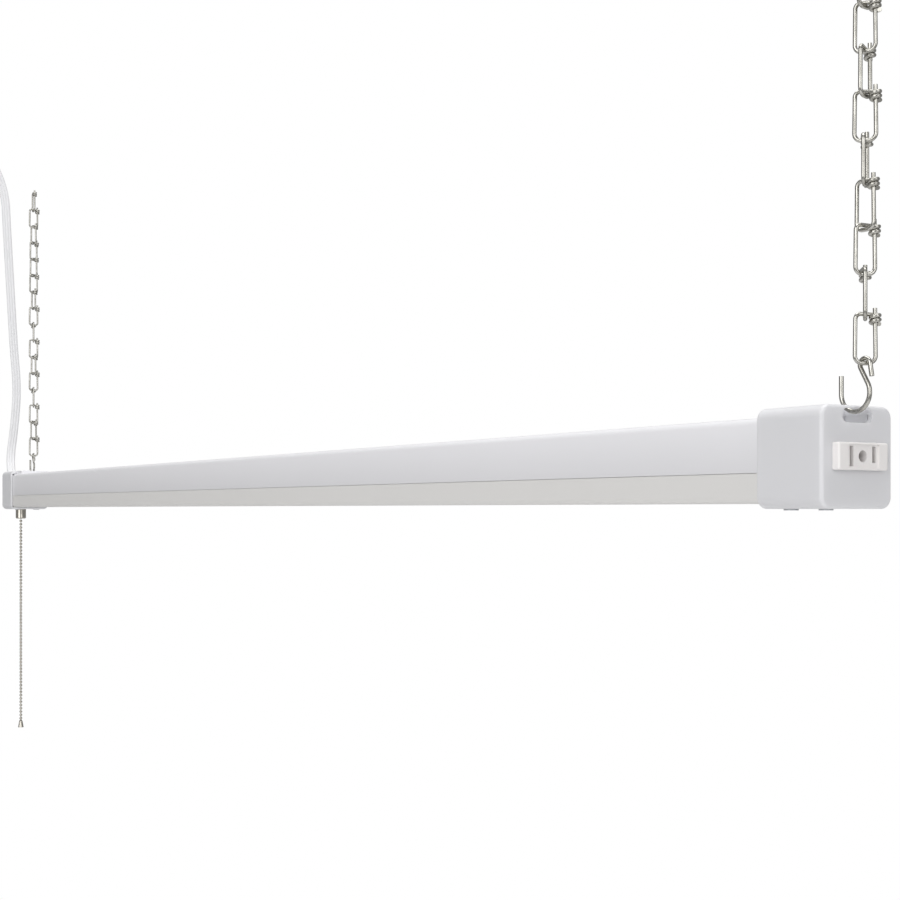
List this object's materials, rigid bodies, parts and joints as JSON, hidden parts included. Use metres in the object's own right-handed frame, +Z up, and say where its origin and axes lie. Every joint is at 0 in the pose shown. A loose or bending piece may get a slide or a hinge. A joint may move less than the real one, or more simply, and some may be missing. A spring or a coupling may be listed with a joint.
{
  "type": "hanging shop light",
  "caption": "long slim white shop light with a diffuser, hung level from knotted wire chains by S-hooks, with a linking outlet, a bead-chain pull switch and a flat white cord",
  "frame": {"origin": "middle of the hanging line, which joins the bearing points of the two chains' top links", "axes": "+X along the light towards the linking outlet, +Y away from the front side, +Z up"},
  "size_m": [1.3974, 0.0917, 0.8018],
  "materials": {
    "white_enamel": "white stoved enamel",
    "diffuser": "translucent white polycarbonate",
    "white_plastic": "fine satin moulding",
    "socket_plastic": "warm white moulding",
    "zinc_wire": "bright zinc, slightly olive",
    "nickel": "polished nickel",
    "galvanised": "plain zinc sheet",
    "white_board": "white solder mask",
    "chip": "yellow phosphor",
    "green_board": "green circuit board",
    "black_plastic": "black moulding",
    "ferrite": "dark ferrite",
    "brass_parts": "plain brass",
    "white_cord": "white flexible cord",
    "wire_cover": "insulated wire"
  },
  "bodies": {
    "top_links": {"near_top_link": "zinc_wire", "far_top_link": "zinc_wire"},
    "near_swing": {"near_swing_link": "zinc_wire"},
    "near_chain": {"near_chain_links": "zinc_wire", "near_s_hook": "zinc_wire"},
    "light": {"housing": "white_enamel", "lens": "diffuser", "gear_tray": "galvanised", "led_board_near": "white_board", "led_board_far": "white_board", "led_chips_near": "chip", "led_chips_far": "chip", "board_rivets": "galvanised", "board_link": "socket_plastic", "driver_board": "green_board", "driver_standoffs": "socket_plastic", "driver_cover": "black_plastic", "driver_transformer": "ferrite", "driver_capacitors": "black_plastic", "driver_choke": "ferrite", "near_cap": "white_plastic", "far_cap": "white_plastic", "near_cap_screws": "galvanised", "far_cap_screws": "galvanised", "near_screw_block": "white_plastic", "far_screw_block": "white_plastic", "receptacle": "socket_plastic", "receptacle_contacts": "brass_parts", "receptacle_back": "socket_plastic", "hanger_bracket": "white_enamel", "pull_switch_body": "black_plastic", "pull_bushing": "nickel", "pull_nut": "nickel", "strain_relief": "white_plastic", "power_cord": "white_cord", "cord_coil": "white_cord", "cord_tail": "white_cord", "cord_tie": "black_plastic", "plug_body": "white_plastic", "plug_blades": "brass_parts", "through_wires": "wire_cover", "wire_tap": "socket_plastic", "driver_leads": "wire_cover"},
    "far_chain": {"far_chain_links": "zinc_wire", "far_s_hook": "zinc_wire"},
    "far_swing": {"far_swing_link": "zinc_wire"},
    "pull_rod": {"pull_rod": "nickel"},
    "swivel": {"swivel_bead": "nickel"},
    "bead_chain": {"bead_chain": "nickel", "chain_bell": "nickel"}
  },
  "joints": [
    {"name": "side_swing", "type": "hinge", "parent": "top_links", "child": "near_swing", "pos_m": [0.6039, 0, -0.01765], "axis": [1, 0, 0], "range_deg": [-12, 12]},
    {"name": "near_chain_swing", "type": "hinge", "parent": "near_swing", "child": "near_chain", "pos_m": [0.6039, 0, -0.03515], "axis": [0, 1, 0], "range_deg": [-12, 12]},
    {"name": "light_level", "type": "hinge", "parent": "near_chain", "child": "light", "pos_m": [0.5989, 0, -0.29872], "axis": [0, 1, 0], "range_deg": [-12, 12]},
    {"name": "far_hook_swing", "type": "hinge", "parent": "light", "child": "far_chain", "pos_m": [-0.5541, 0, -0.29872], "axis": [0, 1, 0], "range_deg": [-12, 12]},
    {"name": "far_link_swing", "type": "hinge", "parent": "far_chain", "child": "far_swing", "pos_m": [-0.5491, 0, -0.03515], "axis": [0, 1, 0], "range_deg": [-12, 12]},
    {"name": "switch_pull", "type": "slide", "parent": "light", "child": "pull_rod", "axis": [0, 0, -1], "range_m": [0, 0.006], "stiffness_N_per_m": 500, "springref_m": -0.002},
    {"name": "bead_swing_along", "type": "hinge", "parent": "pull_rod", "child": "swivel", "pos_m": [-0.5875, -0.003, -0.3514], "axis": [0, 1, 0], "range_deg": [-20, 20]},
    {"name": "bead_swing_across", "type": "hinge", "parent": "swivel", "child": "bead_chain", "pos_m": [-0.5875, -0.003, -0.3514], "axis": [1, 0, 0], "range_deg": [-20, 20]}
  ],
  "couplings": [
    {"joint": "near_chain_swing", "follows": "light_level", "ratio": -1},
    {"joint": "far_hook_swing", "follows": "light_level", "ratio": -1},
    {"joint": "far_link_swing", "follows": "light_level", "ratio": 1}
  ]
}
